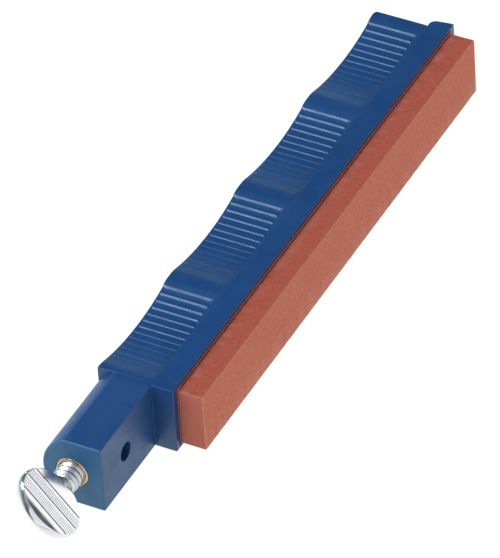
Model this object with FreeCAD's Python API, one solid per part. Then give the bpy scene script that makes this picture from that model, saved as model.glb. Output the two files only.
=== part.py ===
"""Rod-guided sharpening hone: a moulded holder, a bonded stone and a thumb screw.

Millimetres.  The tool lies on its side: +X runs from the thumb screw to the far end of
the stone, +Y from the stone's working face to the back of the grip, +Z is up.  Shapes are
drawn from the flange's near end, on the stone side, at mid width; every shape is moved to
the part's own origin (the centre of its base) when it is written.
"""
import FreeCAD, Part
import math
import os

V = FreeCAD.Vector
X_AXIS = V(1, 0, 0)
Y_AXIS = V(0, 1, 0)
Z_AXIS = V(0, 0, 1)

# --- stone and its bond
STONE_LENGTH = 101.6
STONE_WIDTH = 11.2
STONE_THICKNESS = 4.5
STONE_START = 1.4
STONE_CHAMFER = 0.15
BOND_THICKNESS = 0.2
BOND_INSET = 0.15

# --- holder: flange, grip and clamp block
WIDTH = 13.0
FLANGE_LENGTH = 104.6
FLANGE_THICKNESS = 4.0
FLANGE_EDGE_RADIUS = 0.3
FLANGE_FAR_RADIUS = 1.2      # far corner beside the grip
FLANGE_FAR_SLANT = 0.6       # how far the far end leans back towards the grip
GRIP_START = 0.6
GRIP_OVERRUN = 0.5           # level stretch past the last crest
GRIP_HEIGHT = 10.2
GRIP_CORNER_RADIUS = 0.9
BLOCK_LENGTH = 17.6
BLOCK_DEPTH = 11.0
BLOCK_BACK_RADIUS = 7.05
BLOCK_RIM_RADIUS = 0.4

# --- finger grooves, four on each side of the grip
GROOVE_COUNT = 4
GROOVE_PITCH = 25.4
GROOVE_DEPTH = 1.75
CREST_RADIUS = 7.0

# --- grip ribs: a shallow recess on the near side of each crest, with ribs standing in it
RIB_PITCH = 25.4 / 16
RIB_COUNT = 13
RIB_WIDTH = 0.66
RIB_HEIGHT_FIRST = 0.2
RIB_HEIGHT_LAST = 0.1
RIB_FIRST_GAP = 2.3          # from the crest back to the first rib
RECESS_DEPTH = 0.2
RECESS_LENGTH = 11.6
RECESS_END_GAP = 0.55        # wall left between the recess and the flange
RIB_END_GAP = 0.9
RIB_BACK_GAP = 0.3

# --- guide-rod bore and screw hole in the block
ROD_BORE_RADIUS = 1.65
ROD_BORE_DEPTH = 9.0
ROD_BORE_FROM_END = 8.05
SCREW_HEIGHT = 5.6           # screw axis above the block's flat front face
PASSAGE_RADIUS = 1.95

# --- brass insert
INSERT_RADIUS = 2.85
INSERT_LENGTH = 6.0
INSERT_PROUD = 0.3
THREAD_RADIUS = 2.35
THREAD_CLEARANCE = 0.07
INSERT_COUNTERSINK = 0.2

# --- thumb screw, backed out so that its point is clear of the rod
SCREW_GAP = 2.9              # bare thread between the block and the head
SCREW_SHANK_LENGTH = 6.2
POINT_LENGTH = 2.3
POINT_RADIUS = 1.75
POINT_CHAMFER = 0.35
HEAD_LENGTH = 10.15
HEAD_WIDTH = 13.0
HEAD_THICKNESS = 2.0
HEAD_EDGE_RADIUS = 0.9
HEAD_TURN = 48.5             # degrees from flat, as it is left
NECK_LENGTH = 3.4
HEAD_GROOVE_PLACES = (3.05, 5.08, 7.35)    # from the head's front
HEAD_GROOVE_WIDTH = 0.3
HEAD_GROOVE_DEPTH = 0.22

# --- worked out
HALF_WIDTH = WIDTH / 2
BACK_PLANE = FLANGE_THICKNESS
GRIP_BACK = BACK_PLANE + GRIP_HEIGHT
BLOCK_BACK = BACK_PLANE + BLOCK_DEPTH
BLOCK_END = -BLOCK_LENGTH
SCREW_Y = BACK_PLANE + SCREW_HEIGHT
ROD_X = BLOCK_END + ROD_BORE_FROM_END
HEAD_FRONT = BLOCK_END - SCREW_GAP
THREAD_START = HEAD_FRONT + SCREW_SHANK_LENGTH
HEAD_TIP = HEAD_FRONT - HEAD_LENGTH
WORKING_FACE = -BOND_THICKNESS - STONE_THICKNESS
ORIGIN = V((HEAD_TIP + FLANGE_LENGTH) / 2, (WORKING_FACE + BLOCK_BACK) / 2, -HALF_WIDTH)


def cylinder(radius, length, base, direction):
    return Part.makeCylinder(radius, length, base, direction)


def box(low, high):
    size = high.sub(low)
    return Part.makeBox(size.x, size.y, size.z, low)


def edges_where(shape, test):
    """Edges whose two ends and middle all pass a test."""
    chosen = []
    for edge in shape.Edges:
        middle = edge.valueAt((edge.FirstParameter + edge.LastParameter) / 2)
        points = [vertex.Point for vertex in edge.Vertexes] + [middle]
        if all(test(point) for point in points):
            chosen.append(edge)
    return chosen


def near(value, target):
    return abs(value - target) < 1e-6


# ---------------------------------------------------------------- grip
def groove_arcs():
    """Slope angle and valley radius of the wave that the finger grooves make."""
    slope = 2 * math.atan(GROOVE_DEPTH / (GROOVE_PITCH / 2))
    valley_radius = (GROOVE_PITCH / 2) / math.sin(slope) - CREST_RADIUS
    return slope, valley_radius


def wave_height(offset):
    """Height of the grip's side above mid width, at an offset from a crest."""
    slope, valley_radius = groove_arcs()
    offset = offset % GROOVE_PITCH
    offset = min(offset, GROOVE_PITCH - offset)
    if offset < CREST_RADIUS * math.sin(slope):
        return HALF_WIDTH - CREST_RADIUS + math.sqrt(CREST_RADIUS ** 2 - offset ** 2)
    across = GROOVE_PITCH / 2 - offset
    valley = HALF_WIDTH - GROOVE_DEPTH
    return valley + valley_radius - math.sqrt(valley_radius ** 2 - across ** 2)


def side_point(offset, side):
    return V(GRIP_START + offset, 0, side * wave_height(offset))


def grip_side(side):
    """Tangent arcs along one grooved side, then a level stretch to the far end."""
    slope, _ = groove_arcs()
    turn = CREST_RADIUS * math.sin(slope)
    edges = []
    for groove in range(GROOVE_COUNT):
        start = groove * GROOVE_PITCH
        stations = [start, start + turn, start + GROOVE_PITCH - turn, start + GROOVE_PITCH]
        for first, last in zip(stations, stations[1:]):
            ends = [side_point(first, side), side_point((first + last) / 2, side)]
            edges.append(Part.Arc(ends[0], ends[1], side_point(last, side)).toShape())
    crest = side_point(GROOVE_COUNT * GROOVE_PITCH, side)
    edges.append(Part.LineSegment(crest, crest.add(X_AXIS * GRIP_OVERRUN)).toShape())
    return edges


def grip_solid():
    far_x = GRIP_START + GROOVE_COUNT * GROOVE_PITCH + GRIP_OVERRUN
    top = grip_side(1)
    bottom = grip_side(-1)
    near_end = Part.LineSegment(side_point(0, -1), side_point(0, 1)).toShape()
    far_end = Part.LineSegment(V(far_x, 0, HALF_WIDTH), V(far_x, 0, -HALF_WIDTH)).toShape()
    wire = Part.Wire(Part.__sortEdges__(top + [far_end] + bottom + [near_end]))
    grip = Part.Face(wire).extrude(Y_AXIS * (GRIP_BACK - BACK_PLANE / 2))
    grip.translate(Y_AXIS * (BACK_PLANE / 2))
    corners = edges_where(grip, lambda p: near(p.x, far_x) and near(p.y, GRIP_BACK))
    return grip.makeFillet(GRIP_CORNER_RADIUS, corners)


def recess_floor(offset):
    """Depth of the ribbed recess: full beside the crest, fading to nothing in the groove."""
    start = GROOVE_PITCH - RIB_FIRST_GAP
    along = (start - offset) / RECESS_LENGTH
    return RECESS_DEPTH * max(0.0, 1 - along)


def recess_cutter(groove, side):
    first = GROOVE_PITCH - RIB_FIRST_GAP
    last = first - RECESS_LENGTH
    shift = groove * GROOVE_PITCH
    points = []
    for offset in (first, (first + last) / 2, last):
        point = side_point(shift + offset, side)
        points.append(V(point.x, 0, point.z - side * recess_floor(offset)))
    outside = side * (HALF_WIDTH + 1)
    rim = [points[2], V(points[2].x, 0, outside), V(points[0].x, 0, outside), points[0]]
    edges = [Part.Arc(points[0], points[1], points[2]).toShape()]
    for start, end in zip(rim, rim[1:]):
        edges.append(Part.LineSegment(start, end).toShape())
    low = BACK_PLANE + RECESS_END_GAP
    cutter = Part.Face(Part.Wire(edges)).extrude(Y_AXIS * (GRIP_BACK + 1 - low))
    cutter.translate(Y_AXIS * low)
    return cutter


def rib(groove, number, side):
    """One round-topped rib across the grip."""
    offset = GROOVE_PITCH - RIB_FIRST_GAP - number * RIB_PITCH
    fade = number / (RIB_COUNT - 1)
    height = RIB_HEIGHT_FIRST * (1 - fade) + RIB_HEIGHT_LAST * fade
    centre = side_point(groove * GROOVE_PITCH + offset, side)
    floor = centre.z - side * recess_floor(offset)
    foot = floor - side * 0.4
    left = V(centre.x - RIB_WIDTH / 2, 0, floor)
    right = V(centre.x + RIB_WIDTH / 2, 0, floor)
    crown = V(centre.x, 0, floor + side * height)
    corner_right = V(right.x, 0, foot)
    corner_left = V(left.x, 0, foot)
    edges = [Part.Arc(left, crown, right).toShape()]
    for start, end in ((right, corner_right), (corner_right, corner_left), (corner_left, left)):
        edges.append(Part.LineSegment(start, end).toShape())
    low = BACK_PLANE + RIB_END_GAP
    high = GRIP_BACK - RIB_BACK_GAP
    solid = Part.Face(Part.Wire(edges)).extrude(Y_AXIS * (high - low))
    solid.translate(Y_AXIS * low)
    return solid


def ribbed_grip():
    grip = grip_solid()
    places = [(groove, side) for groove in range(GROOVE_COUNT) for side in (1, -1)]
    grip = grip.cut([recess_cutter(groove, side) for groove, side in places])
    ribs = [rib(groove, number, side) for groove, side in places for number in range(RIB_COUNT)]
    return grip.fuse(ribs)


# ---------------------------------------------------------------- holder
def flange():
    """Long plate that carries the stone; its far end leans back to a rounded corner."""
    back_x = FLANGE_LENGTH - FLANGE_FAR_SLANT
    corners = [
        V(0, 0, -HALF_WIDTH),
        V(FLANGE_LENGTH, 0, -HALF_WIDTH),
        V(back_x, FLANGE_THICKNESS, -HALF_WIDTH),
        V(0, FLANGE_THICKNESS, -HALF_WIDTH),
    ]
    plate = Part.Face(Part.makePolygon(corners + corners[:1])).extrude(Z_AXIS * WIDTH)
    far_corner = edges_where(plate, lambda p: near(p.x, back_x))
    plate = plate.makeFillet(FLANGE_FAR_RADIUS, far_corner)
    return plate.makeFillet(FLANGE_EDGE_RADIUS, plate.Edges)


def clamp_block():
    """D-shaped block: flat front and sides, arched back, with a softened end rim."""
    centre_y = BLOCK_BACK - BLOCK_BACK_RADIUS
    reach = math.sqrt(BLOCK_BACK_RADIUS ** 2 - HALF_WIDTH ** 2)
    shoulder_y = centre_y + reach
    front_high = V(BLOCK_END, BACK_PLANE, HALF_WIDTH)
    front_low = V(BLOCK_END, BACK_PLANE, -HALF_WIDTH)
    back_high = V(BLOCK_END, shoulder_y, HALF_WIDTH)
    back_low = V(BLOCK_END, shoulder_y, -HALF_WIDTH)
    back_middle = V(BLOCK_END, BLOCK_BACK, 0)
    edges = [
        Part.LineSegment(front_low, front_high).toShape(),
        Part.LineSegment(front_high, back_high).toShape(),
        Part.Arc(back_high, back_middle, back_low).toShape(),
        Part.LineSegment(back_low, front_low).toShape(),
    ]
    block = Part.Face(Part.Wire(edges)).extrude(X_AXIS * (BLOCK_LENGTH + GRIP_START))
    rim = edges_where(block, lambda p: near(p.x, BLOCK_END))
    return block.makeFillet(BLOCK_RIM_RADIUS, rim)


def holder():
    shape = clamp_block().fuse([flange(), ribbed_grip()]).removeSplitter()
    rod_bore = cylinder(ROD_BORE_RADIUS, ROD_BORE_DEPTH + 1, V(ROD_X, BACK_PLANE - 1, 0), Y_AXIS)
    pocket = cylinder(INSERT_RADIUS, INSERT_LENGTH, V(BLOCK_END, SCREW_Y, 0), X_AXIS)
    passage = cylinder(PASSAGE_RADIUS, ROD_BORE_FROM_END, V(BLOCK_END, SCREW_Y, 0), X_AXIS)
    return shape.cut([rod_bore, pocket, passage])


# ---------------------------------------------------------------- stone and bond
def hone_stone():
    low = V(STONE_START, WORKING_FACE, -STONE_WIDTH / 2)
    high = V(STONE_START + STONE_LENGTH, -BOND_THICKNESS, STONE_WIDTH / 2)
    bar = box(low, high)
    return bar.makeChamfer(STONE_CHAMFER, bar.Edges)


def stone_adhesive():
    half = STONE_WIDTH / 2 - BOND_INSET
    low = V(STONE_START + BOND_INSET, -BOND_THICKNESS, -half)
    high = V(STONE_START + STONE_LENGTH - BOND_INSET, 0, half)
    return box(low, high)


# ---------------------------------------------------------------- insert and screw
def threaded_insert():
    bore_radius = THREAD_RADIUS + THREAD_CLEARANCE
    start = V(BLOCK_END - INSERT_PROUD, SCREW_Y, 0)
    length = INSERT_LENGTH + INSERT_PROUD
    mouth_radius = bore_radius + INSERT_COUNTERSINK
    bush = cylinder(INSERT_RADIUS, length, start, X_AXIS)
    bore = cylinder(bore_radius, length, start, X_AXIS)
    mouth = Part.makeCone(mouth_radius, bore_radius, INSERT_COUNTERSINK, start, X_AXIS)
    return bush.cut([bore, mouth])


def spade():
    """Flat oval head that holds the screw's axis, with three straight grooves a side."""
    centre_x = HEAD_FRONT - HEAD_LENGTH / 2
    outline = Part.Ellipse(V(0, 0, 0), HEAD_WIDTH / 2, HEAD_LENGTH / 2).toShape()
    plate = Part.Face(Part.Wire(outline)).extrude(Z_AXIS * HEAD_THICKNESS)
    plate = plate.makeFillet(HEAD_EDGE_RADIUS, edges_where(plate, lambda p: near(p.z, 0)))
    top = edges_where(plate, lambda p: near(p.z, HEAD_THICKNESS))
    plate = plate.makeFillet(HEAD_EDGE_RADIUS, top)
    plate.translate(V(0, 0, -HEAD_THICKNESS / 2))
    plate.rotate(V(0, 0, 0), Z_AXIS, 90)
    plate.translate(V(centre_x, SCREW_Y, 0))
    cuts = []
    for face in (1, -1):
        for place in HEAD_GROOVE_PLACES:
            x = HEAD_FRONT - place
            low_z = face * HEAD_THICKNESS / 2 - HEAD_GROOVE_DEPTH
            low = V(x - HEAD_GROOVE_WIDTH / 2, SCREW_Y - HEAD_WIDTH, low_z)
            high = V(x + HEAD_GROOVE_WIDTH / 2, SCREW_Y + HEAD_WIDTH, low_z + 2 * HEAD_GROOVE_DEPTH)
            cuts.append(box(low, high))
    return plate.cut(cuts)


def thumb_screw():
    neck_start = HEAD_FRONT - NECK_LENGTH
    neck = Part.makeCone(HEAD_THICKNESS / 2, THREAD_RADIUS, NECK_LENGTH, V(neck_start, SCREW_Y, 0), X_AXIS)
    shank = cylinder(THREAD_RADIUS, SCREW_SHANK_LENGTH, V(HEAD_FRONT, SCREW_Y, 0), X_AXIS)
    screw = spade().fuse([neck, shank])
    screw.rotate(V(0, SCREW_Y, 0), X_AXIS, HEAD_TURN)
    return screw


def screw_point():
    start = V(THREAD_START, SCREW_Y, 0)
    point = cylinder(POINT_RADIUS, POINT_LENGTH, start, X_AXIS)
    tip = edges_where(point, lambda p: near(p.x, THREAD_START + POINT_LENGTH))
    return point.makeChamfer(POINT_CHAMFER, tip)


def main():
    os.makedirs("parts", exist_ok=True)
    nodes = {
        "holder": holder(),
        "hone_stone": hone_stone(),
        "stone_adhesive": stone_adhesive(),
        "threaded_insert": threaded_insert(),
        "thumb_screw": thumb_screw(),
        "screw_point": screw_point(),
    }
    for name, shape in nodes.items():
        shape.translate(ORIGIN * -1)
        shape.exportStep("parts/" + name + ".step")
        limits = shape.BoundBox
        print(name, len(shape.Solids), shape.isValid(), round(shape.Volume, 1), limits)
    rod = V(ROD_X, BACK_PLANE, 0).sub(ORIGIN)
    print("rod bore mouth", rod, "screw axis y", SCREW_Y - ORIGIN.y)
    print("working face y", WORKING_FACE - ORIGIN.y, "origin", ORIGIN)


main()
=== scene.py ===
"""Looks for the rod-guided sharpening hone.

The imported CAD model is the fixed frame.  Each visible piece is rebuilt here as a finer mesh
at the same size and place: a one-piece holder with grip ribs and moulded edges, a worn
abrasive bar on its bond line, a threaded brass insert and a plated thumb screw with a real
helical thread.  Shapes are worked out in millimetres from the flange's near end, on the
stone side, at mid width, and turned into metres when a mesh is made.
"""

import math

import bmesh
import bpy
from mathutils import Matrix, Vector, noise


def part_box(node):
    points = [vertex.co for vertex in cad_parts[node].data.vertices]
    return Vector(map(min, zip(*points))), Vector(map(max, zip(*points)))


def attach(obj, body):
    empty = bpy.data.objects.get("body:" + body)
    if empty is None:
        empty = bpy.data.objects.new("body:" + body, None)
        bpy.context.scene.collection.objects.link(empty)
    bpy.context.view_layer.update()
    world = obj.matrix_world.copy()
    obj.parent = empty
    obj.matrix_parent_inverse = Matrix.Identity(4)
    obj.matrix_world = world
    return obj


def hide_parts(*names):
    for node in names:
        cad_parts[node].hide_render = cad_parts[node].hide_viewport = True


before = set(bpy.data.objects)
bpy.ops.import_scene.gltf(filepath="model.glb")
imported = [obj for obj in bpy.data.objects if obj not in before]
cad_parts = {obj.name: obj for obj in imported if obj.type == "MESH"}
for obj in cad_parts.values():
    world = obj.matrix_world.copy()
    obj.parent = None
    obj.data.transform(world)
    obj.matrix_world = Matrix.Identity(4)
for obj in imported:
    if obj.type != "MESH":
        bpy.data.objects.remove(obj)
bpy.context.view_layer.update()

MM = 0.001

# --- sizes in millimetres that the CAD model has too
WIDTH = 13.0
FLANGE_THICKNESS = 4.0
FLANGE_LENGTH = 104.6
FLANGE_FAR_RADIUS = 1.2
FLANGE_FAR_SLANT = 0.6
GRIP_START = 0.6
GRIP_OVERRUN = 0.5
GRIP_HEIGHT = 10.2
GRIP_CORNER = 0.9
GROOVE_COUNT = 4
GROOVE_PITCH = 25.4
GROOVE_DEPTH = 1.75
CREST_RADIUS = 7.0
RIB_PITCH = GROOVE_PITCH / 16
RIB_COUNT = 13
RIB_FIRST_GAP = 2.3          # from a crest back to its groove's first rib
RIB_END_GAP = 0.9            # from the flange to a rib's low end
RIB_BACK_GAP = 0.3           # from a rib's high end to the back of the grip
RECESS_DEPTH = 0.2
RECESS_LENGTH = 11.6
BLOCK_LENGTH = 17.6
BLOCK_DEPTH = 11.0
BLOCK_BACK_RADIUS = 7.05
BLOCK_RIM = 0.4              # rounding of the block's end
ROD_BORE_RADIUS = 1.65
ROD_BORE_DEPTH = 9.0
ROD_BORE_FROM_END = 8.05
SCREW_HEIGHT = 5.6
SCREW_GAP = 2.9              # bare thread between the block and the head
INSERT_RADIUS = 2.85
INSERT_LENGTH = 6.0
INSERT_PROUD = 0.3
PASSAGE_RADIUS = 1.95
THREAD_RADIUS = 2.35
THREAD_CLEARANCE = 0.07
HEAD_LENGTH = 10.15
HEAD_WIDTH = 13.0
HEAD_THICKNESS = 2.0
HEAD_TURN = 48.5

# --- finer details, in millimetres, that only these meshes have
FLANGE_EDGE = 0.15           # rounding of the flange's long edges and near end
FLANGE_FAR_EDGE = 0.15
LEDGE_ROUND = 0.1            # rounding of the flange's edge above the grip
CREST_DROP = 0.06            # the crests stay a hair under the flange's edge
FOOT_DIP = 0.12              # shallow line moulded along the foot of the grip
FOOT_FILLET = 0.12
GRIP_RIM = 0.2               # rounding between the grip's sides and its back
GRIP_NEAR_EDGE = 0.12
GRIP_FAR_EDGE = 0.3
RIB_HALF_FIRST = 0.38        # half widths of the first and last rib of a groove
RIB_HALF_LAST = 0.2
RIB_SLIM_FIRST = 0.56        # heights of those ribs over their half widths
RIB_SLIM_LAST = 0.4
RECESS_WALL = 0.85           # from the flange to the low edge of the ribbed recess
BLOCK_EDGE = 0.2
BORE_CHAMFER = 0.04
POCKET_GAP = 0.02            # the insert's pocket is this much larger than the insert
POCKET_CHAMFER = 0.1
CUTTER_SEGMENTS = 72
STONE_EDGE = 0.16
STONE_STEP = 0.35            # length of the bar between two sections
STONE_SEED = 1
BEAD = Vector((0.35, 0.0, 0.68))     # how far the bond is squeezed out past its CAD edge
BOND_EDGE = 0.08
BOND_STEP = 0.7
BOND_SEED = 5
THREAD_PITCH = 25.4 / 24     # the same as the joints' travel in one turn
THREAD_DEPTH = 0.34
THREAD_ROOT = 0.1            # flat root of the thread, as a share of half a turn
THREAD_FLANK = 0.75          # one flank, as a share of half a turn
THREAD_SEGMENTS = 64
THREAD_STEPS = 12            # sections to one turn of the thread

# --- places worked out from the frame
holder_low, holder_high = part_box("holder")
ORIGIN = Vector((
    holder_low[0] / MM + BLOCK_LENGTH,
    holder_low[1] / MM,
    (holder_low[2] + holder_high[2]) / 2 / MM,
))
GRIP_LENGTH = GROOVE_COUNT * GROOVE_PITCH
GRIP_END = GRIP_START + GRIP_LENGTH + GRIP_OVERRUN
GRIP_BACK = FLANGE_THICKNESS + GRIP_HEIGHT
BLOCK_BACK = FLANGE_THICKNESS + BLOCK_DEPTH
HALF = WIDTH / 2
SCREW_Y = FLANGE_THICKNESS + SCREW_HEIGHT
HEAD_FRONT = -BLOCK_LENGTH - SCREW_GAP


def local(corner):
    """A corner of a CAD box, in this script's millimetres."""
    return Vector(corner) / MM - ORIGIN


# ------------------------------------------------------------------ mesh helpers
def piece_from(name, points, faces):
    """A mesh object from millimetre points."""
    mesh = bpy.data.meshes.new(name)
    placed = [(Vector(point) + ORIGIN) * MM for point in points]
    mesh.from_pydata(placed, [], faces)
    shape = bmesh.new()
    shape.from_mesh(mesh)
    bmesh.ops.remove_doubles(shape, verts=shape.verts, dist=1e-7)
    bmesh.ops.recalc_face_normals(shape, faces=shape.faces)
    shape.to_mesh(mesh)
    shape.free()
    mesh.update()
    piece = bpy.data.objects.new(name, mesh)
    bpy.context.scene.collection.objects.link(piece)
    return piece


def loft(loops, capped=True):
    """Points and faces through equal closed loops, with a cap at each end."""
    count = len(loops[0])
    points = [point for loop in loops for point in loop]
    faces = []
    for row in range(len(loops) - 1):
        for k in range(count):
            after = (k + 1) % count
            first = row * count
            second = first + count
            faces.append((first + k, first + after, second + after, second + k))
    if capped:
        last = (len(loops) - 1) * count
        faces.append(tuple(reversed(range(count))))
        faces.append(tuple(range(last, last + count)))
    return points, faces


def tidy(piece, sharp_degrees=32.0, weld=1e-7):
    """Welds doubles, turns faces outward, and smooths all but the sharp edges."""
    shape = bmesh.new()
    shape.from_mesh(piece.data)
    bmesh.ops.remove_doubles(shape, verts=shape.verts, dist=weld)
    bmesh.ops.dissolve_degenerate(shape, edges=shape.edges, dist=weld)
    bmesh.ops.recalc_face_normals(shape, faces=shape.faces)
    limit = math.radians(sharp_degrees)
    for face in shape.faces:
        face.smooth = True
    for edge in shape.edges:
        edge.smooth = len(edge.link_faces) == 2 and edge.calc_face_angle(0.0) < limit
    shape.to_mesh(piece.data)
    shape.free()
    piece.data.update()


def apply_modifiers(piece):
    """Bakes a piece's modifiers into its mesh."""
    graph = bpy.context.evaluated_depsgraph_get()
    done = bpy.data.meshes.new_from_object(piece.evaluated_get(graph), depsgraph=graph)
    piece.modifiers.clear()
    piece.data = done


def combine(piece, other, operation):
    """Joins or cuts a piece with another closed mesh, which is then removed."""
    change = piece.modifiers.new("combine", "BOOLEAN")
    change.operation = operation
    change.solver = "EXACT"
    change.object = other
    apply_modifiers(piece)
    bpy.data.objects.remove(other)


def flat_normals(piece):
    """Large flat faces keep flat shading beside their rounded edges."""
    weigh = piece.modifiers.new("weigh", "WEIGHTED_NORMAL")
    weigh.keep_sharp = True
    weigh.weight = 60
    apply_modifiers(piece)


def arc(centre, radius, start, end, steps):
    """Points on an arc in the section plane, from one angle to another, ends included."""
    out = []
    for k in range(steps + 1):
        angle = math.radians(start + (end - start) * k / steps)
        out.append((centre[0] + radius * math.cos(angle), centre[1] + radius * math.sin(angle)))
    return out


def circle(x, radius_at, segments):
    """A closed loop about the screw's axis at x, its radius given for each angle."""
    loop = []
    for k in range(segments):
        angle = 2 * math.pi * k / segments
        radius = radius_at(angle)
        loop.append((x, SCREW_Y + radius * math.cos(angle), radius * math.sin(angle)))
    return loop


def smoothstep(low, high, value):
    """A smooth rise from 0 at low to 1 at high."""
    t = min(1.0, max(0.0, (value - low) / (high - low)))
    return t * t * (3 - 2 * t)


# ------------------------------------------------------------------ grip surface
def wave_height(offset):
    """Height of the grip's side above mid width: crests and finger grooves, tangent arcs."""
    slope = 2 * math.atan(GROOVE_DEPTH / (GROOVE_PITCH / 2))
    valley_radius = (GROOVE_PITCH / 2) / math.sin(slope) - CREST_RADIUS
    offset = offset % GROOVE_PITCH
    offset = min(offset, GROOVE_PITCH - offset)
    if offset < CREST_RADIUS * math.sin(slope):
        return HALF - CREST_RADIUS + math.sqrt(CREST_RADIUS ** 2 - offset ** 2)
    across = GROOVE_PITCH / 2 - offset
    return HALF - GROOVE_DEPTH + valley_radius - math.sqrt(valley_radius ** 2 - across ** 2)


def recess_floor(offset):
    """Depth of the ribbed recess at an offset from the crest before it."""
    start = GROOVE_PITCH - RIB_FIRST_GAP
    floor = RECESS_DEPTH * max(0.0, 1 - (start - offset) / RECESS_LENGTH)
    return floor * smoothstep(0.0, 0.4, start - offset)


def down_groove(number, first, last):
    """A value that changes evenly from the first rib of a groove to the last."""
    share = number / (RIB_COUNT - 1)
    return first * (1 - share) + last * share


def rib_half_width(number):
    """Half the width of a rib at its foot."""
    return down_groove(number, RIB_HALF_FIRST, RIB_HALF_LAST)


def grip_height(x, y):
    """Height of the finished grip side: wave, recess and ribs."""
    offset = (x - GRIP_START) % GROOVE_PITCH
    if x >= GRIP_START + GRIP_LENGTH:
        offset = GROOVE_PITCH
    base = min(wave_height(offset), HALF - CREST_DROP)
    base -= FOOT_DIP * (1 - smoothstep(0.1, 0.5, y - FLANGE_THICKNESS))
    sunk = recess_floor(offset) * smoothstep(-0.15, 0.15, y - FLANGE_THICKNESS - RECESS_WALL)
    height = base - sunk
    number = round((GROOVE_PITCH - RIB_FIRST_GAP - offset) / RIB_PITCH)
    if number < 0 or number >= RIB_COUNT:
        return height
    centre = GROOVE_PITCH - RIB_FIRST_GAP - number * RIB_PITCH
    half_width = rib_half_width(number)
    across = (offset - centre) / half_width
    tall = half_width * down_groove(number, RIB_SLIM_FIRST, RIB_SLIM_LAST)
    low_end = smoothstep(-0.12, 0.22, y - FLANGE_THICKNESS - RIB_END_GAP)
    high_end = smoothstep(-0.05, 0.25, GRIP_BACK - RIB_BACK_GAP - y)
    floor = wave_height(centre) - recess_floor(centre)
    if number == 0:
        floor = wave_height(centre) - tall
    crown = floor + tall * (1 - across * across) - 1.3 * tall * (1 - min(low_end, high_end))
    return max(height, crown)


def end_inset(distance, radius):
    """How far a rounded end pulls a section in, at a distance from the end."""
    if distance >= radius:
        return 0.0
    distance = max(distance, 0.0)
    return radius - math.sqrt(radius * radius - (radius - distance) ** 2)


EDGE_ROW = 0.12              # distance of the first row of points from a rounded edge
GRIP_ROWS = 26               # rows of points across the grip, from the flange to its back
LEDGE_ARC = 3
BACK_ARC = 4


def grip_rows():
    """Places across the grip, closer together where the ribs end."""
    low = FLANGE_THICKNESS + 0.25
    high = GRIP_BACK - 0.2
    dense_low = [low + 0.13 * k for k in range(11)]
    dense_high = [high - 0.11 * k for k in range(7)][::-1]
    middle = []
    count = GRIP_ROWS - len(dense_low) - len(dense_high)
    for k in range(1, count + 1):
        middle.append(dense_low[-1] + (dense_high[0] - dense_low[-1]) * k / (count + 1))
    return dense_low + middle + dense_high


def flange_back(x):
    """The flange's back edge, drawn in at the far end by a round corner and a slant."""
    lean = math.atan2(FLANGE_FAR_SLANT, FLANGE_THICKNESS)
    radius = FLANGE_FAR_RADIUS
    centre_y = FLANGE_THICKNESS - radius
    centre_x = FLANGE_LENGTH - (radius + centre_y * math.sin(lean)) / math.cos(lean)
    if x <= centre_x:
        return FLANGE_THICKNESS
    if x <= centre_x + radius * math.cos(lean):
        return centre_y + math.sqrt(radius * radius - (x - centre_x) ** 2)
    return (FLANGE_LENGTH - x) / math.tan(lean)


def rows_between(low, high, row, shares):
    """Places between two edges: one a row's width from each, the others at given shares."""
    row = min(row, 0.3 * (high - low))
    return [low + row] + [low + (high - low) * share for share in shares] + [high - row]


def holder_half(x, with_grip):
    """Upper half of the flange-and-grip section at x, from the stone side to the back."""
    near_inset = end_inset(x, FLANGE_EDGE)
    half = HALF - max(near_inset, end_inset(FLANGE_LENGTH - x, FLANGE_FAR_EDGE))
    front = near_inset
    back = max(flange_back(x) - near_inset, front + 0.04)
    edge = min(FLANGE_EDGE, 0.4 * (back - front))
    foot = grip_height(x, FLANGE_THICKNESS)
    round_over = min(LEDGE_ROUND, 0.45 * max(half - foot, 0.02), 0.2 * (back - front))
    points = [(front, 0.0), (front, half * 0.5), (front, half - edge - EDGE_ROW)]
    points += arc((front + edge, half - edge), edge, 180, 90, 3)
    low, high = front + edge, back - round_over
    points += [(y, half) for y in rows_between(low, high, EDGE_ROW, (0.35, 0.65))]
    points += arc((high, half - round_over), round_over, 90, 0, LEDGE_ARC)
    if not with_grip:
        start = half - round_over
        rest = LEDGE_ARC + GRIP_ROWS + BACK_ARC + 2
        return points + [(back, start * (1 - k / rest)) for k in range(1, rest + 1)]
    inset = max(end_inset(x - GRIP_START, GRIP_NEAR_EDGE), end_inset(GRIP_END - x, GRIP_FAR_EDGE))
    foot -= inset
    fillet = min(FOOT_FILLET, (half - foot) * 0.45)
    points += arc((back + fillet, foot + fillet), fillet, 180, 270, LEDGE_ARC)[:-1]
    top = GRIP_BACK - max(inset, end_inset(GRIP_END - x, GRIP_CORNER))
    limit = top - GRIP_RIM
    points += [(min(y, limit), grip_height(x, y) - inset) for y in grip_rows()]
    height = points[-1][1]
    points += arc((limit, height - GRIP_RIM), GRIP_RIM, 90, 0, BACK_ARC)[1:]
    points += [(top, (height - GRIP_RIM) * 0.55), (top, 0.0)]
    return points


def whole_section(x, half_points):
    """A closed loop from a half section that starts and ends at mid width."""
    upper = [(x, y, z) for y, z in half_points]
    lower = [(x, y, -z) for y, z in half_points[1:-1]]
    return upper + lower[::-1]


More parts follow.
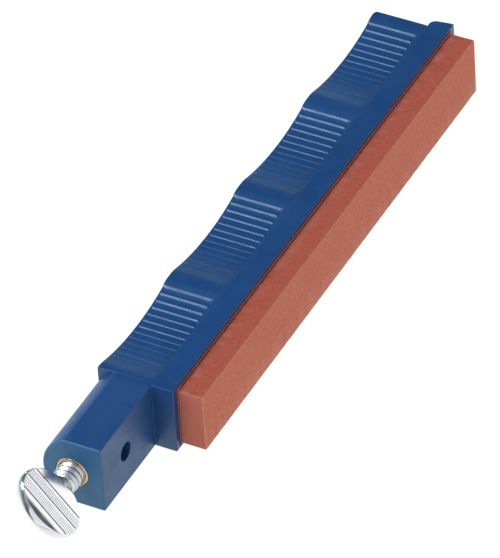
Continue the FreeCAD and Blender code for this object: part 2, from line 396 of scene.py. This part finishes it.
def groove_stations():
    """Places along one groove: a few on each rib, and an even spread between."""
    places = {0.0, GROOVE_PITCH}
    for k in range(1, 40):
        offset = GROOVE_PITCH * k / 40
        places.add(round(offset, 4))
    for number in range(RIB_COUNT):
        centre = GROOVE_PITCH - RIB_FIRST_GAP - number * RIB_PITCH
        places = {p for p in places if abs(p - centre) > RIB_PITCH / 2}
    for number in range(RIB_COUNT):
        centre = GROOVE_PITCH - RIB_FIRST_GAP - number * RIB_PITCH
        for share in (-1.4, -1.04, -0.8, -0.5, -0.2, 0.2, 0.5, 0.8, 1.04, 1.4):
            places.add(round(centre + share * rib_half_width(number), 4))
    return sorted(places)


def flange_and_grip():
    """The flange and the grip as one loft along X."""
    loops = []
    step = 0.003             # keeps the grip's end faces apart from the ledge's sections
    for x in (0.0, 0.04, 0.12, 0.3, GRIP_START - step):
        loops.append(whole_section(x, holder_half(x, False)))
    stations = []
    for groove in range(GROOVE_COUNT):
        for offset in groove_stations():
            stations.append(GRIP_START + groove * GROOVE_PITCH + offset)
    ends = [GRIP_START + d for d in (0.02, 0.06, 0.12)]
    ends += [GRIP_END - d for d in (0.015, 0.06, 0.13, 0.22, 0.3, 0.42, 0.55, 0.72, 0.9)]
    stations = sorted(set(round(s, 4) for s in stations + ends))
    for x in stations:
        loops.append(whole_section(x, holder_half(x, True)))
    past = (1.65, 1.5, 1.3, 1.1, 0.9, 0.75, 0.62, 0.53, 0.44, 0.3, 0.16, 0.08, 0.03, 0.01)
    for x in [GRIP_END + step] + [FLANGE_LENGTH - distance for distance in past]:
        loops.append(whole_section(x, holder_half(x, False)))
    return piece_from("holder_moulding", *loft(loops))


# ------------------------------------------------------------------ clamp block
def block_half(inset, front, shrink, edge=BLOCK_EDGE):
    """Upper half of the D section: flat front, flat side, arched back."""
    half = HALF - inset - shrink
    radius = BLOCK_BACK_RADIUS - inset - shrink
    centre = BLOCK_BACK - BLOCK_BACK_RADIUS
    shoulder = centre + math.sqrt(max(radius * radius - half * half, 0.0))
    low = front + inset
    points = [(low, 0.0), (low, half * 0.5), (low, half - edge - EDGE_ROW)]
    points += arc((low + edge, half - edge), edge, 180, 90, 3)
    points += [(y, half) for y in rows_between(low + edge, shoulder, EDGE_ROW, (0.35, 0.65))]
    angle = math.degrees(math.atan2(half, shoulder - centre))
    points += arc((centre, 0.0), radius, angle, 0, 16)
    points[-1] = (points[-1][0], 0.0)
    return points


def clamp_block():
    """The D-shaped block, with a narrowing root inside the flange and grip."""
    near = -BLOCK_LENGTH
    loops = []
    for distance in (0.0, 0.03, 0.1, 0.2, 0.3, 0.4, 2.0, 6.0, 12.0, 17.0, BLOCK_LENGTH - 0.004):
        inset = end_inset(distance, BLOCK_RIM)
        loops.append(whole_section(near + distance, block_half(inset, FLANGE_THICKNESS, 0.0)))
    inside = ((0.03, 0.12, 0.0, 0.3), (0.3, 0.5, 0.0, 0.6), (0.6, 0.6, 0.0, 0.7),
              (0.75, 0.7, 0.4, 0.7), (2.6, 0.8, 1.4, 0.7))
    for x, sunk, shrink, edge in inside:
        loops.append(whole_section(x, block_half(0.0, FLANGE_THICKNESS - sunk, shrink, edge)))
    return piece_from("clamp_block", *loft(loops))


def round_cutter(profile):
    """A turned cutter about the screw's axis, from (x, radius) pairs."""
    loops = [circle(x, lambda angle: radius, CUTTER_SEGMENTS) for x, radius in profile]
    return piece_from("cutter", *loft(loops))


def rod_bore_cutter():
    """A blind round hole along Y, with a slightly broken mouth."""
    x = -BLOCK_LENGTH + ROD_BORE_FROM_END
    mouth = FLANGE_THICKNESS
    wall = ROD_BORE_RADIUS
    broken = wall + BORE_CHAMFER
    profile = (
        (mouth - 1, broken), (mouth, broken),
        (mouth + 2 * BORE_CHAMFER, wall), (mouth + ROD_BORE_DEPTH, wall),
    )
    loops = []
    for y, radius in profile:
        ring = []
        for k in range(CUTTER_SEGMENTS):
            angle = 2 * math.pi * k / CUTTER_SEGMENTS
            ring.append((x + radius * math.sin(angle), y, radius * math.cos(angle)))
        loops.append(ring)
    return piece_from("cutter", *loft(loops))


def make_holder():
    """The one-piece moulding, with its rod bore, insert pocket and screw passage."""
    holder = flange_and_grip()
    combine(holder, clamp_block(), "UNION")
    combine(holder, rod_bore_cutter(), "DIFFERENCE")
    near = -BLOCK_LENGTH
    pocket = INSERT_RADIUS + POCKET_GAP
    mouth = pocket + POCKET_CHAMFER
    end = near + INSERT_LENGTH
    steps = ((near - 1, mouth), (near, mouth), (near + POCKET_CHAMFER, pocket), (end, pocket))
    combine(holder, round_cutter(steps), "DIFFERENCE")
    rod_centre = near + ROD_BORE_FROM_END
    passage = ((end - 0.5, PASSAGE_RADIUS), (rod_centre, PASSAGE_RADIUS))
    combine(holder, round_cutter(passage), "DIFFERENCE")
    tidy(holder)
    flat_normals(holder)
    return holder


# ------------------------------------------------------------------ stone and bond
def wander(x, seed, scale):
    """A smooth wandering value between -1 and 1 along the bar."""
    return noise.noise(Vector((x * scale, seed * 7.31, seed * 3.17)))


def bar_loop(x, low, high, radius, inset, seed):
    """One section of the bar, with unevenly worn corners."""
    corners = (
        (low.y, low.z, 180, 270), (high.y, low.z, 270, 360),
        (high.y, high.z, 0, 90), (low.y, high.z, 90, 180),
    )
    loop = []
    for number, (y, z, start, end) in enumerate(corners):
        wear = radius * (1 + 0.55 * wander(x, seed + number, 0.9))
        wear += 0.09 * max(0.0, wander(x, seed + number + 9, 2.3) - 0.25)
        wear = min(max(wear, 0.03), 0.44 * min(high.y - low.y - 2 * inset, high.z - low.z))
        sign_y = 1 if y == low.y else -1
        sign_z = 1 if z == low.z else -1
        centre = (y + sign_y * (inset + wear), z + sign_z * (inset + wear))
        loop += [(x, point[0], point[1]) for point in arc(centre, wear, start, end, 4)]
        after = corners[(number + 1) % 4]
        if after[1] == z:
            row = min(inset + radius + 0.3, 0.42 * abs(after[0] - y))
            row = math.copysign(row, after[0] - y)
            places = (y + row, (y + after[0]) / 2, after[0] - row)
            loop += [(x, place, z + sign_z * inset) for place in places]
        else:
            row = min(inset + radius + 0.3, 0.42 * abs(after[1] - z))
            row = math.copysign(row, after[1] - z)
            places = (z + row, (z + after[1]) / 2, after[1] - row)
            loop += [(x, y + sign_y * inset, place) for place in places]
    return loop


def bar(name, low, high, radius, step, seed):
    """A long bar with rounded, worn ends and edges."""
    near_end = [radius * share for share in (0.0, 0.12, 0.35, 0.65, 1.0)]
    stations = [low.x + d for d in near_end] + [high.x - d for d in near_end]
    count = int((high.x - low.x - 2 * radius) / step)
    for k in range(1, count):
        stations.append(low.x + radius + (high.x - low.x - 2 * radius) * k / count)
    loops = []
    for x in sorted(stations):
        inset = end_inset(min(x - low.x, high.x - x), radius)
        loops.append(bar_loop(x, low, high, radius, inset, seed))
    return piece_from(name, *loft(loops))


def make_stone():
    low, high = (local(corner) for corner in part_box("hone_stone"))
    stone = bar("abrasive_bar", low, high, STONE_EDGE, STONE_STEP, STONE_SEED)
    tidy(stone, 40)
    flat_normals(stone)
    return stone


def make_bond():
    low, high = (local(corner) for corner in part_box("stone_adhesive"))
    low, high = low - BEAD, high + BEAD
    bond = bar("bond_line", low, high, BOND_EDGE, BOND_STEP, BOND_SEED)
    tidy(bond, 40)
    return bond


# ------------------------------------------------------------------ thread
def thread_radius(angle, x):
    """Radius of a right-hand thread at an angle and a place along X."""
    turn = (x / THREAD_PITCH - angle / (2 * math.pi)) % 1.0
    tri = abs(turn - 0.5) * 2
    shaped = min(1.0, max(0.0, (tri - THREAD_ROOT) / THREAD_FLANK))
    return THREAD_RADIUS - THREAD_DEPTH * (1 - shaped)


def thread_loop(x, margin):
    """One section of a threaded surface, a margin larger than the screw's own thread."""
    return circle(x, lambda angle: thread_radius(angle, x) + margin, THREAD_SEGMENTS)


def ring_loop(x, radius):
    """One plain round section."""
    return circle(x, lambda angle: radius, THREAD_SEGMENTS)


def thread_stations(low, high):
    """Places along a thread, close enough together to show its flanks."""
    count = int(math.ceil((high - low) / THREAD_PITCH * THREAD_STEPS))
    return [low + (high - low) * k / count for k in range(count + 1)]


def make_insert():
    """Brass bush: a broken rim, a female thread and a plain outside hidden in the block."""
    near = -BLOCK_LENGTH - INSERT_PROUD
    far = -BLOCK_LENGTH + INSERT_LENGTH
    outside = INSERT_RADIUS
    lip = outside - 0.16
    mouth = THREAD_RADIUS + THREAD_CLEARANCE + 0.12
    loops = [
        ring_loop(far, outside - 0.1), ring_loop(far - 0.1, outside),
        ring_loop(near + INSERT_PROUD + 0.12, outside),
        ring_loop(near + INSERT_PROUD + 0.02, lip), ring_loop(near + 0.08, lip),
        ring_loop(near + 0.02, lip - 0.03), ring_loop(near, lip - 0.08),
        ring_loop(near, mouth + 0.03),
        ring_loop(near + 0.02, mouth), ring_loop(near + 0.18, mouth - 0.12),
    ]
    for x in thread_stations(near + 0.3, far - 0.3):
        loops.append(thread_loop(x, THREAD_CLEARANCE))
    loops.append(ring_loop(far, mouth))
    points, faces = loft(loops + [loops[0]], capped=False)
    insert = piece_from("brass_insert", points, faces)
    tidy(insert, 40)
    return insert


# ------------------------------------------------------------------ thumb screw
HEAD_POWER = 1.9             # power of the head's oval outline; an ellipse has 2
HEAD_ROWS = 110              # sections along the head
HEAD_COLUMNS = 300           # points across each face
SERRATION_PITCH = 0.32
SERRATION_DEPTH = 0.04
SERRATION_SHARE = 0.5        # the part of the pitch that a serration's cut takes
GROOVE_PLACES = (3.05, 5.08, 7.35)    # straight grooves across the head, from its neck
GROOVE_BEVEL = 0.1
GROOVE_STEEP = 0.12
GROOVE_CUT = 0.24
GROOVE_LAND = 0.5            # smooth strip between a groove and the serrations after it
FACET_START = 8.6            # where the head starts to fall away towards its tip
FACET_SLOPE = 0.34
RIM_START = 0.94
TIP_RIM_START = 0.82
NECK_FLARE = 0.9
NECK_CORNER = 0.45           # where the shank runs into the head's edge


def head_outline(s):
    """Half width of the oval head at a distance s from its front."""
    middle = HEAD_LENGTH / 2
    share = max(0.0, 1 - abs((s - middle) / middle) ** HEAD_POWER)
    return HEAD_WIDTH / 2 * share ** (1 / HEAD_POWER)


def smooth_max(a, b, blend):
    """The larger of two values, rounded where they are within the blend of each other."""
    h = max(blend - abs(a - b), 0.0) / blend
    return max(a, b) + h * h * blend / 4


def head_face(s, w):
    """Half thickness of the head at s along and w across."""
    middle = HEAD_LENGTH / 2
    along = (s - middle) / middle
    across = w / (HEAD_WIDTH / 2)
    reach = (abs(along) ** HEAD_POWER + abs(across) ** HEAD_POWER) ** (1 / HEAD_POWER)
    toward_tip = max(0.0, along / max(reach, 1e-6))
    start = RIM_START - (RIM_START - TIP_RIM_START) * smoothstep(0.55, 1.0, toward_tip)
    rim = min(1.0, max(0.0, (reach - start) / (1 - start)))
    fallen = FACET_SLOPE * smooth_max(0.0, s - FACET_START, 0.9)
    plate = (HEAD_THICKNESS / 2 - fallen) * math.sqrt(max(0.0, 1 - rim * rim))
    detail = 0.0
    for place in GROOVE_PLACES:
        past = s - place
        if -GROOVE_STEEP < past <= 0:
            detail = max(detail, GROOVE_CUT * (1 + past / GROOVE_STEEP))
        elif 0 < past < GROOVE_BEVEL:
            detail = max(detail, GROOVE_CUT * (1 - past / GROOVE_BEVEL))
    in_band = 0.0
    for first, second in zip(GROOVE_PLACES, GROOVE_PLACES[1:]):
        if first + GROOVE_LAND < s < second - GROOVE_STEEP - 0.08:
            in_band = 1.0
    cut = max(0.0, 1 - abs((w / SERRATION_PITCH) % 1.0 - 0.5) * 2 / SERRATION_SHARE)
    detail = max(detail, in_band * SERRATION_DEPTH * cut)
    plate -= min(detail * (1 - smoothstep(0.3, 0.95, rim)), 0.5 * plate)
    flare = THREAD_RADIUS * (1 - smoothstep(-0.6, NECK_FLARE, s))
    cone = flare * math.sqrt(max(0.0, 1 - (w / (THREAD_RADIUS + 0.5 * s)) ** 2))
    return smooth_max(plate, cone, 0.35) if cone > 0 else plate


def head_stations(first):
    """Places along the head: even, with extra ones on the grooves' steep sides and the tip."""
    last = HEAD_LENGTH
    places = set()
    for k in range(HEAD_ROWS + 1):
        t = k / HEAD_ROWS
        places.add(first + (last - first) * t)
    for place in GROOVE_PLACES:
        places = {p for p in places if not place - 0.14 < p < place + 0.06}
        places.update((place - GROOVE_STEEP - 0.01, place - GROOVE_STEEP / 2, place))
        places.update((place + 0.06, place + GROOVE_BEVEL))
    for share in (0.002, 0.008, 0.02, 0.04):
        places.add(last - share)
    return sorted(p for p in places if first <= p <= last - 0.002)


def head_points():
    """Closed loops round the head, from its neck to its tip, before it is turned."""
    neck = 1 - (THREAD_RADIUS / (HEAD_WIDTH / 2)) ** HEAD_POWER
    first = HEAD_LENGTH / 2 * (1 - neck ** (1 / HEAD_POWER))
    loops = []
    for s in head_stations(first):
        half = head_outline(s)
        top = []
        for k in range(HEAD_COLUMNS + 1):
            share = -math.cos(math.pi * k / HEAD_COLUMNS)
            even = -1 + 2 * k / HEAD_COLUMNS
            w = half * (0.25 * share + 0.75 * even)
            top.append((w, head_face(s, w) if abs(share) < 1 else 0.0))
        under = [(w, -t) for w, t in top[1:-1]][::-1]
        loops.append([(HEAD_FRONT - s, SCREW_Y + w, t) for w, t in top + under])
    return loops


def turned(points):
    """Points turned about the screw's axis to where the screw is left."""
    spin = Matrix.Rotation(math.radians(HEAD_TURN), 3, "X")
    centre = Vector((0.0, SCREW_Y, 0.0))
    return [tuple(centre + spin @ (Vector(point) - centre)) for point in points]


def make_thumb_screw():
    """The spade head with a threaded shank, whose tapered neck ends inside the head."""
    points, faces = loft(head_points())
    screw = piece_from("plated_thumb_screw", turned(points), faces)
    shank_end = local(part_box("thumb_screw")[1]).x
    core = THREAD_RADIUS - THREAD_DEPTH
    neck = ((-1.3, 0.3), (-0.85, 0.42), (-0.6, 0.6), (-0.38, 0.82), (-0.2, 0.93), (0.12, 1.01))
    loops = [ring_loop(HEAD_FRONT + x, core * share) for x, share in neck]
    for x in thread_stations(HEAD_FRONT + 0.2, shank_end - 0.25):
        loops.append(thread_loop(x, 0.0))
    loops.append(ring_loop(shank_end, core * 0.93))
    shank = piece_from("shank", *loft(loops))
    combine(screw, shank, "UNION")
    tidy(screw, 34)
    return screw


def make_screw_point():
    """The screw's plain round end, with a broken edge."""
    low, high = (local(corner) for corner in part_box("screw_point"))
    radius = (high.z - low.z) / 2
    loops = [
        ring_loop(low.x, radius), ring_loop(high.x - 0.4, radius),
        ring_loop(high.x - 0.32, radius - 0.03), ring_loop(high.x - 0.05, radius - 0.32),
        ring_loop(high.x, radius - 0.42),
    ]
    point = piece_from("plain_screw_point", *loft(loops))
    tidy(point, 40)
    return point


# ------------------------------------------------------------------ materials
def new_material(name, color, metallic, roughness):
    material = bpy.data.materials.new(name)
    material.use_nodes = True
    shader = material.node_tree.nodes["Principled BSDF"]
    shader.inputs["Base Color"].default_value = (*color, 1)
    shader.inputs["Metallic"].default_value = metallic
    shader.inputs["Roughness"].default_value = roughness
    return material, material.node_tree.nodes, material.node_tree.links, shader


def position(nodes):
    """The place of a point on the piece, in metres."""
    return nodes.new("ShaderNodeTexCoord").outputs["Object"]


def axes(nodes, links, vector):
    """The X, Y and Z outputs of a vector."""
    node = nodes.new("ShaderNodeSeparateXYZ")
    links.new(vector, node.inputs["Vector"])
    return node.outputs


def calculate(nodes, links, operation, *values):
    """A math node over sockets and numbers."""
    node = nodes.new("ShaderNodeMath")
    node.operation = operation
    for socket, value in zip(node.inputs, values):
        if isinstance(value, float):
            socket.default_value = value
        else:
            links.new(value, socket)
    return node.outputs["Value"]


def noise_node(nodes, links, vector, scale, detail=3.0, rough=0.5):
    """Fractal noise; the scale is in cycles a metre."""
    node = nodes.new("ShaderNodeTexNoise")
    node.inputs["Scale"].default_value = scale
    node.inputs["Detail"].default_value = detail
    node.inputs["Roughness"].default_value = rough
    links.new(vector, node.inputs["Vector"])
    return node.outputs["Fac"]


def ramp(nodes, links, value, stops):
    """Colours along a value, from (place, color) stops."""
    node = nodes.new("ShaderNodeValToRGB")
    elements = node.color_ramp.elements
    while len(elements) < len(stops):
        elements.new(0.5)
    for element, (place, color) in zip(elements, stops):
        element.position = place
        element.color = (*color, 1)
    links.new(value, node.inputs["Fac"])
    return node.outputs["Color"]


def map_range(nodes, links, value, low, high, to_low, to_high):
    """A value's run from low to high, mapped to another run and clamped there."""
    node = nodes.new("ShaderNodeMapRange")
    sockets = ("From Min", "From Max", "To Min", "To Max")
    for socket, amount in zip(sockets, (low, high, to_low, to_high)):
        node.inputs[socket].default_value = amount
    links.new(value, node.inputs["Value"])
    return node.outputs["Result"]


def bump(nodes, links, shader, heights):
    """Chains (height, distance in metres, strength) bumps into the shader's normal."""
    normal = None
    for height, distance, strength in heights:
        node = nodes.new("ShaderNodeBump")
        node.inputs["Strength"].default_value = strength
        node.inputs["Distance"].default_value = distance
        links.new(height, node.inputs["Height"])
        if normal is not None:
            links.new(normal, node.inputs["Normal"])
        normal = node.outputs["Normal"]
    links.new(normal, shader.inputs["Normal"])


def mix_color(nodes, links, fac, a, b):
    """A mix of two colors, each a socket or a constant."""
    node = nodes.new("ShaderNodeMix")
    node.data_type = "RGBA"
    links.new(fac, node.inputs["Factor"])
    for socket, value in ((node.inputs[6], a), (node.inputs[7], b)):
        if isinstance(value, tuple):
            socket.default_value = (*value, 1)
        else:
            links.new(value, socket)
    return node.outputs[2]


def worn_edges(nodes, links, low, high):
    """1 on outward edges, 0 elsewhere."""
    geometry = nodes.new("ShaderNodeNewGeometry")
    return map_range(nodes, links, geometry.outputs["Pointiness"], low, high, 0.0, 1.0)


def blue_plastic():
    """Satin moulded plastic: rubbed streaks along it, a painted greener reflection on the block's
    end face and a duller block.
    """
    material, nodes, links, shader = new_material("moulded_blue", (0.005, 0.052, 0.2), 0.0, 0.34)
    shader.inputs["IOR"].default_value = 1.55
    shader.inputs["Specular Tint"].default_value = (0.86, 1.0, 0.95, 1)
    where = position(nodes)
    cloud = noise_node(nodes, links, where, 90, 4)
    tone = ramp(nodes, links, cloud, [(0.3, (0.003, 0.045, 0.155)), (0.7, (0.005, 0.054, 0.182))])
    along = nodes.new("ShaderNodeMapping")
    along.inputs["Scale"].default_value = (0.12, 1.0, 1.0)
    links.new(where, along.inputs["Vector"])
    streaks = noise_node(nodes, links, along.outputs["Vector"], 900, 4, 0.6)
    rubbed = map_range(nodes, links, streaks, 0.6, 0.75, 0.0, 0.22)
    color = mix_color(nodes, links, rubbed, tone, (0.02, 0.1, 0.28))
    along_x = axes(nodes, links, where)["X"]
    # Painted reflection: the block's near end face is coloured a lighter, greener blue.
    near = (ORIGIN.x - BLOCK_LENGTH) * MM
    painted_end_reflection = map_range(nodes, links, along_x, near + 0.0004, near + 0.0001, 0.0, 1.0)
    color = mix_color(nodes, links, painted_end_reflection, color, (0.012, 0.088, 0.205))
    links.new(color, shader.inputs["Base Color"])
    grain = noise_node(nodes, links, where, 3200, 2)
    scuff = noise_node(nodes, links, where, 420, 5, 0.6)
    far = ORIGIN.x * MM
    duller = map_range(nodes, links, along_x, far - 0.0006, far, 0.1, 0.0)
    satin = map_range(nodes, links, scuff, 0.3, 0.7, 0.3, 0.44)
    roughness = calculate(nodes, links, "ADD", satin, duller)
    links.new(roughness, shader.inputs["Roughness"])
    bump(nodes, links, shader, [(grain, 0.00003, 0.12), (scuff, 0.00006, 0.06)])
    return material


def abrasive():
    """Fired abrasive: gritty, redder on its sides, paler on the working face, partly from dust
    and wear and partly a painted sheen.
    """
    material, nodes, links, shader = new_material("abrasive_red", (0.4, 0.085, 0.055), 0.0, 0.9)
    where = position(nodes)
    grit = noise_node(nodes, links, where, 5200, 2, 0.7)
    fine = noise_node(nodes, links, where, 1700, 4, 0.65)
    stain = noise_node(nodes, links, where, 120, 5, 0.6)
    side = ramp(nodes, links, fine, [(0.3, (0.35, 0.056, 0.028)), (0.7, (0.44, 0.08, 0.042))])
    # The working face's paler colour is partly dust and wear and partly a painted sheen.
    face = ramp(nodes, links, fine, [(0.3, (0.43, 0.1, 0.054)), (0.7, (0.55, 0.158, 0.095))])
    depth = axes(nodes, links, where)["Y"]
    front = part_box("hone_stone")[0][1]
    working = map_range(nodes, links, depth, front + 0.0003, front + 0.0001, 0.0, 1.0)
    body = mix_color(nodes, links, working, side, face)
    speck = map_range(nodes, links, grit, 0.6, 0.7, 0.0, 0.5)
    color = mix_color(nodes, links, speck, body, (0.6, 0.27, 0.19))
    dark = map_range(nodes, links, grit, 0.3, 0.38, 0.45, 0.0)
    color = mix_color(nodes, links, dark, color, (0.25, 0.05, 0.035))
    stained = map_range(nodes, links, stain, 0.35, 0.7, 0.0, 0.25)
    color = mix_color(nodes, links, stained, color, (0.38, 0.09, 0.06))
    edge = worn_edges(nodes, links, 0.508, 0.58)
    color = mix_color(nodes, links, edge, color, (0.64, 0.3, 0.22))
    links.new(color, shader.inputs["Base Color"])
    bump(nodes, links, shader, [(grit, 0.00008, 0.5), (fine, 0.0001, 0.35)])
    return material


def bond_resin():
    """The brown resin that holds the stone, cloudy and slightly lumpy."""
    material, nodes, links, shader = new_material("cured_bond", (0.06, 0.03, 0.03), 0.0, 0.5)
    where = position(nodes)
    cloud = noise_node(nodes, links, where, 700, 3)
    tone = ramp(nodes, links, cloud, [(0.3, (0.24, 0.058, 0.055)), (0.7, (0.32, 0.078, 0.07))])
    links.new(tone, shader.inputs["Base Color"])
    bump(nodes, links, shader, [(cloud, 0.0001, 0.4)])
    return material


def brass():
    """Turned brass with a light tarnish."""
    material, nodes, links, shader = new_material("turned_brass", (0.8, 0.6, 0.34), 1.0, 0.28)
    where = position(nodes)
    turned_lines = noise_node(nodes, links, where, 2600, 2)
    tarnish = noise_node(nodes, links, where, 900, 4)
    tone = ramp(nodes, links, tarnish, [(0.3, (0.7, 0.44, 0.26)), (0.7, (0.9, 0.7, 0.48))])
    links.new(tone, shader.inputs["Base Color"])
    links.new(map_range(nodes, links, tarnish, 0.3, 0.7, 0.2, 0.4), shader.inputs["Roughness"])
    bump(nodes, links, shader, [(turned_lines, 0.00003, 0.2)])
    return material


def painted_groove_shade(nodes, links, where, color):
    """Paints shade into a color: darker in the head's straight grooves and in the corner at its
    neck.
    """
    place = axes(nodes, links, where)
    flat = nodes.new("ShaderNodeCombineXYZ")
    links.new(place["Y"], flat.inputs["Y"])
    links.new(place["Z"], flat.inputs["Z"])
    off_axis = nodes.new("ShaderNodeVectorMath")
    off_axis.operation = "DISTANCE"
    off_axis.inputs[1].default_value = (0.0, (SCREW_Y + ORIGIN.y) * MM, ORIGIN.z * MM)
    links.new(flat.outputs["Vector"], off_axis.inputs[0])
    # Painted shade: the grooves and the neck corner each get a darker grey.
    grooves = [(groove - GROOVE_STEEP / 2, GROOVE_STEEP * 0.7, (0.12, 0.12, 0.13))
               for groove in GROOVE_PLACES]
    corner = (NECK_CORNER, 0.22, (0.34, 0.37, 0.38))
    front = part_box("thumb_screw")[0][0] + HEAD_LENGTH * MM
    for s, reach, painted_shade in grooves + [corner]:
        band = calculate(nodes, links, "COMPARE", place["X"], front - s * MM, reach * MM)
        inner = 0.93 * head_outline(s) * MM
        inside = calculate(nodes, links, "LESS_THAN", off_axis.outputs["Value"], inner)
        both = calculate(nodes, links, "MULTIPLY", band, inside)
        color = mix_color(nodes, links, both, color, painted_shade)
    return color


def plated_steel():
    """Bright nickel: smooth on the head, darker and duller on the cut thread, with painted shade
    in the head's grooves and neck corner.
    """
    material, nodes, links, shader = new_material("bright_nickel", (0.72, 0.72, 0.74), 1.0, 0.16)
    where = position(nodes)
    smear = noise_node(nodes, links, where, 350, 4)
    haze = noise_node(nodes, links, where, 2400, 2)
    tone = ramp(nodes, links, smear, [(0.35, (0.68, 0.68, 0.7)), (0.65, (0.76, 0.76, 0.78))])
    color = painted_groove_shade(nodes, links, where, tone)
    along_x = axes(nodes, links, where)["X"]
    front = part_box("thumb_screw")[0][0] + HEAD_LENGTH * MM
    cut = map_range(nodes, links, along_x, front - 0.0004, front + 0.0003, 0.0, 0.6)
    color = mix_color(nodes, links, cut, color, (0.42, 0.43, 0.45))
    links.new(color, shader.inputs["Base Color"])
    dull = map_range(nodes, links, along_x, front - 0.0004, front + 0.0003, 0.0, 0.2)
    polish = map_range(nodes, links, smear, 0.3, 0.7, 0.1, 0.22)
    roughness = calculate(nodes, links, "ADD", polish, dull)
    links.new(roughness, shader.inputs["Roughness"])
    bump(nodes, links, shader, [(haze, 0.00002, 0.12)])
    return material


def dress(piece, material, body, node):
    """Gives a piece its material, the body it rides and the CAD node it replaces."""
    piece.data.materials.clear()
    piece.data.materials.append(material)
    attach(piece, body)
    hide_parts(node)


# ------------------------------------------------------------------ stage, light, camera
CAMERA_AZIMUTH = -60.37
CAMERA_ELEVATION = 40.37
CAMERA_ROLL = 3.87
CAMERA_DISTANCE = 1.113
CAMERA_TARGET = (ORIGIN + Vector((39.88, 6.88, -2.98))) * MM
CAMERA_LENS = 429.8


def back_direction(azimuth, elevation):
    """The direction from the target back to the camera."""
    a, e = math.radians(azimuth), math.radians(elevation)
    return Vector((math.sin(a) * math.cos(e), -math.cos(a) * math.cos(e), math.sin(e)))


def make_camera():
    """A long lens that looks down on the tool from its near end."""
    data = bpy.data.cameras.new("camera")
    data.lens = CAMERA_LENS
    data.sensor_width = 36
    data.clip_start = 0.05
    data.clip_end = 20
    camera = bpy.data.objects.new("camera", data)
    back = back_direction(CAMERA_AZIMUTH, CAMERA_ELEVATION)
    camera.location = CAMERA_TARGET + back * CAMERA_DISTANCE
    level = (-back).to_track_quat("-Z", "Y").to_matrix()
    camera.matrix_world = (
        Matrix.Translation(camera.location)
        @ (level @ Matrix.Rotation(math.radians(-CAMERA_ROLL), 3, "Z")).to_4x4()
    )
    bpy.context.scene.collection.objects.link(camera)
    bpy.context.scene.camera = camera


def make_floor():
    """A plain pale floor that glows a little, so that shadows on it stay faint."""
    half = 3.0
    mesh = bpy.data.meshes.new("floor")
    corners = [(-half, -half, 0), (half, -half, 0), (half, half, 0), (-half, half, 0)]
    mesh.from_pydata(corners, [], [(0, 1, 2, 3)])
    floor = bpy.data.objects.new("floor", mesh)
    floor.location = (0, 0, -0.00005)
    bpy.context.scene.collection.objects.link(floor)
    material, _, _, shader = new_material("pale_floor", (0.14, 0.14, 0.14), 0.0, 0.9)
    shader.inputs["Emission Color"].default_value = (1.0, 1.04, 1.0, 1)
    shader.inputs["Emission Strength"].default_value = 0.96
    mesh.materials.append(material)


def soft_light(name, toward, distance, size, radiance, along=(0, 0, 1), color=(1, 1, 1)):
    """A soft box seen from the object in one direction, its long side lying along another."""
    back = Vector(toward).normalized()
    across = Vector(along).cross(back).normalized()
    up = back.cross(across)
    data = bpy.data.lights.new(name, "AREA")
    data.shape = "RECTANGLE"
    data.size, data.size_y = size
    data.energy = radiance * math.pi * size[0] * size[1]
    data.color = color
    light = bpy.data.objects.new(name, data)
    turn = Matrix((across, up, back)).transposed().to_4x4()
    light.matrix_world = Matrix.Translation(back * distance) @ turn
    bpy.context.scene.collection.objects.link(light)


def make_world():
    """A room with a bright horizon in front, a dark band above it and a pale ceiling."""
    world = bpy.data.worlds.new("studio")
    bpy.context.scene.world = world
    world.use_nodes = True
    nodes, links = world.node_tree.nodes, world.node_tree.links
    toward = axes(nodes, links, nodes.new("ShaderNodeTexCoord").outputs["Generated"])
    dim = (0.1, 0.11, 0.13)
    front_tones = [(0.1, (0.85, 0.85, 0.86)), (0.36, dim), (0.52, dim), (0.66, (0.5, 0.52, 0.56))]
    rear_tones = [(0.1, (0.46, 0.64, 0.58)), (0.55, dim), (0.76, dim), (0.93, (0.38, 0.4, 0.42))]
    in_front = ramp(nodes, links, toward["Z"], front_tones)
    at_rear = ramp(nodes, links, toward["Z"], rear_tones)
    behind = map_range(nodes, links, toward["Y"], -0.2, 0.15, 0.0, 1.0)
    room = mix_color(nodes, links, behind, in_front, at_rear)
    links.new(room, nodes["Background"].inputs["Color"])


def make_light():
    """The room, and three soft boxes: one overhead behind the tool and two in front."""
    make_world()
    cool = (0.76, 0.88, 1.0)
    soft_light("overhead", (-0.35, 0.58, 0.74), 1.0, (0.28, 0.9), 14.5, (0, 1, 0), cool)
    soft_light("front", (0.7, -0.65, 0.3), 1.3, (0.9, 0.6), 1.15)
    soft_light("side", (-0.4, -0.83, 0.38), 1.3, (1.3, 0.5), 0.95)


# ------------------------------------------------------------------ build
make_camera()
make_floor()
make_light()
bpy.context.scene.view_settings.view_transform = "Standard"

nickel = plated_steel()
dress(make_holder(), blue_plastic(), "hone", "holder")
dress(make_stone(), abrasive(), "hone", "hone_stone")
dress(make_bond(), bond_resin(), "hone", "stone_adhesive")
dress(make_insert(), brass(), "hone", "threaded_insert")
dress(make_thumb_screw(), nickel, "screw_turn", "thumb_screw")
dress(make_screw_point(), nickel, "screw_travel", "screw_point")
